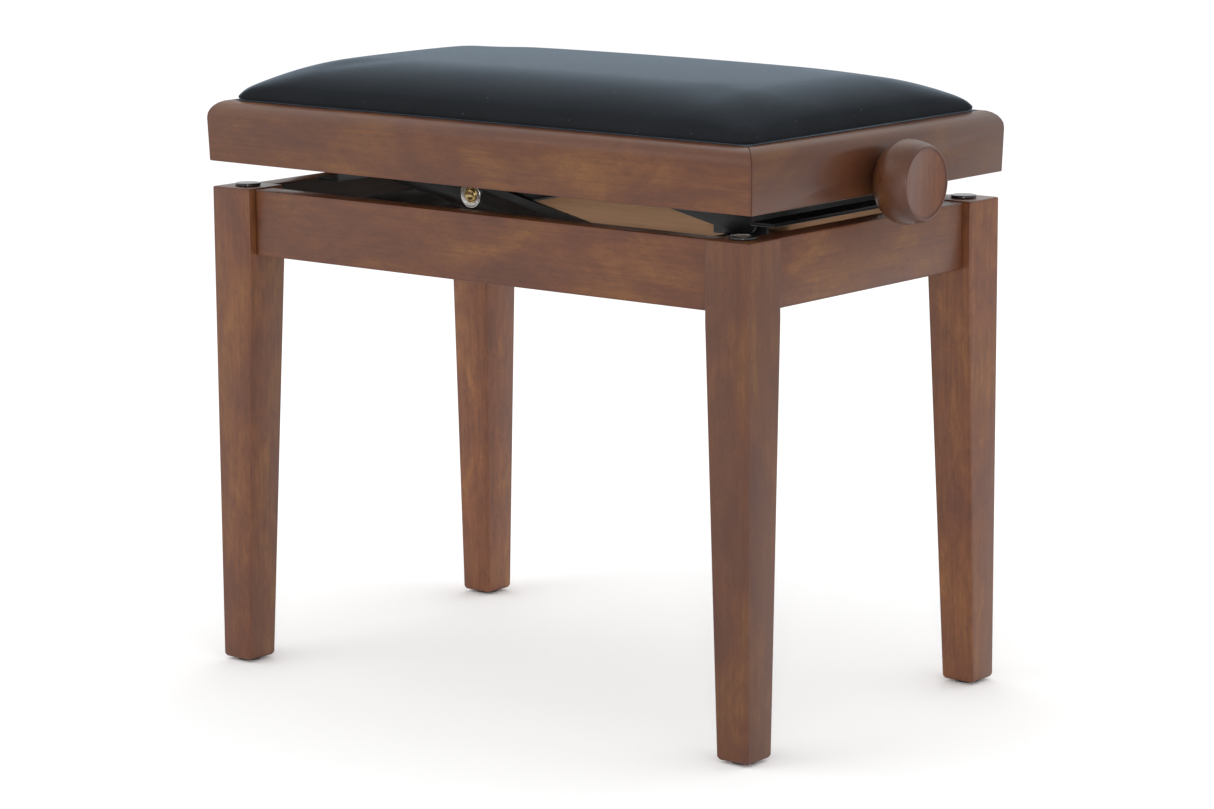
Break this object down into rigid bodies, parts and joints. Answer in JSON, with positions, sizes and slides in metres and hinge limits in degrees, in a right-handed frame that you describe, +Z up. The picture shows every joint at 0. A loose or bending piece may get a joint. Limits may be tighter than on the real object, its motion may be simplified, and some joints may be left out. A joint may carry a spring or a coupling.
{
  "type": "piano bench",
  "caption": "Height-adjustable piano bench: four tapered wooden legs, wooden frame, black velvet cushion, and a steel scissor lift turned by a spindle with a wooden knob at each end.",
  "frame": {"origin": "centre of the footprint, on the floor under the bench", "axes": "+X along the bench towards the right-hand knob, +Y towards the back long side, +Z up"},
  "size_m": [0.641, 0.337, 0.5058],
  "materials": {
    "stained_beech": "satin",
    "raw_plywood": "matte",
    "black_velvet": "matte",
    "black_steel": "satin",
    "zinc_steel": "satin",
    "pad_rubber": "satin",
    "black_plastic": "matte"
  },
  "bodies": {
    "base": {"leg_front_left": "stained_beech", "leg_front_right": "stained_beech", "leg_back_left": "stained_beech", "leg_back_right": "stained_beech", "glide_front_left": "black_plastic", "glide_front_right": "black_plastic", "glide_back_left": "black_plastic", "glide_back_right": "black_plastic", "pad_front_left": "pad_rubber", "pad_front_right": "pad_rubber", "pad_back_left": "pad_rubber", "pad_back_right": "pad_rubber", "apron_front": "stained_beech", "apron_back": "stained_beech", "apron_left": "stained_beech", "apron_right": "stained_beech", "cross_channel_left": "black_steel", "cross_channel_right": "black_steel", "channel_screw_left_front": "zinc_steel", "channel_screw_left_back": "zinc_steel", "channel_screw_right_front": "zinc_steel", "channel_screw_right_back": "zinc_steel", "pivot_bracket_front": "black_steel", "pivot_bracket_back": "black_steel", "slot_bracket_front": "black_steel", "slot_bracket_back": "black_steel", "base_pivot_bolt_front": "zinc_steel", "base_pivot_bolt_back": "zinc_steel"},
    "seat": {"seat_rail_front": "stained_beech", "seat_rail_back": "stained_beech", "seat_rail_left": "stained_beech", "seat_rail_right": "stained_beech", "seat_board": "raw_plywood", "seat_cushion": "black_velvet", "carrier_rail_front": "black_steel", "carrier_rail_back": "black_steel", "end_channel_left": "black_steel", "end_channel_right": "black_steel", "spindle_bush_left": "black_plastic", "spindle_bush_right": "black_plastic", "frame_bush_left": "black_plastic", "frame_bush_right": "black_plastic", "seat_pivot_bolt_front": "zinc_steel", "seat_pivot_bolt_back": "zinc_steel"},
    "inner_arms": {"inner_arm_front": "black_steel", "inner_arm_back": "black_steel", "middle_rivet_front": "zinc_steel", "middle_rivet_back": "zinc_steel"},
    "outer_arms": {"outer_arm_front": "black_steel", "outer_arm_back": "black_steel"},
    "nut": {"nut_bar": "zinc_steel"},
    "spindle_and_knobs": {"spindle": "zinc_steel", "thrust_collar_left": "black_steel", "thrust_collar_right": "black_steel", "knob_left": "stained_beech", "knob_right": "stained_beech"}
  },
  "joints": [
    {"name": "seat_lift", "type": "slide", "parent": "base", "child": "seat", "axis": [0, 0, 1], "range_m": [-0.0173, 0.0627]},
    {"name": "inner_arms_swing", "type": "hinge", "parent": "base", "child": "inner_arms", "pos_m": [-0.196, 0, 0.3735], "axis": [0, -1, 0], "range_deg": [-3.8, 13.6]},
    {"name": "outer_arms_swing", "type": "hinge", "parent": "seat", "child": "outer_arms", "pos_m": [-0.196, 0, 0.432], "axis": [0, 1, 0], "range_deg": [-3.8, 13.6]},
    {"name": "nut_slide", "type": "slide", "parent": "seat", "child": "nut", "axis": [1, 0, 0], "range_m": [-0.0215, 0.006]},
    {"name": "knob_turn", "type": "hinge", "parent": "seat", "child": "spindle_and_knobs", "pos_m": [0, 0, 0.432], "axis": [1, 0, 0], "range_deg": [-712, 2575]}
  ],
  "couplings": [
    {"joint": "inner_arms_swing", "follows": "seat_lift", "rad_per_m": 3.7828},
    {"joint": "outer_arms_swing", "follows": "seat_lift", "rad_per_m": 3.7828},
    {"joint": "nut_slide", "follows": "seat_lift", "ratio": -0.34149},
    {"joint": "knob_turn", "follows": "seat_lift", "rad_per_m": 715.21}
  ]
}
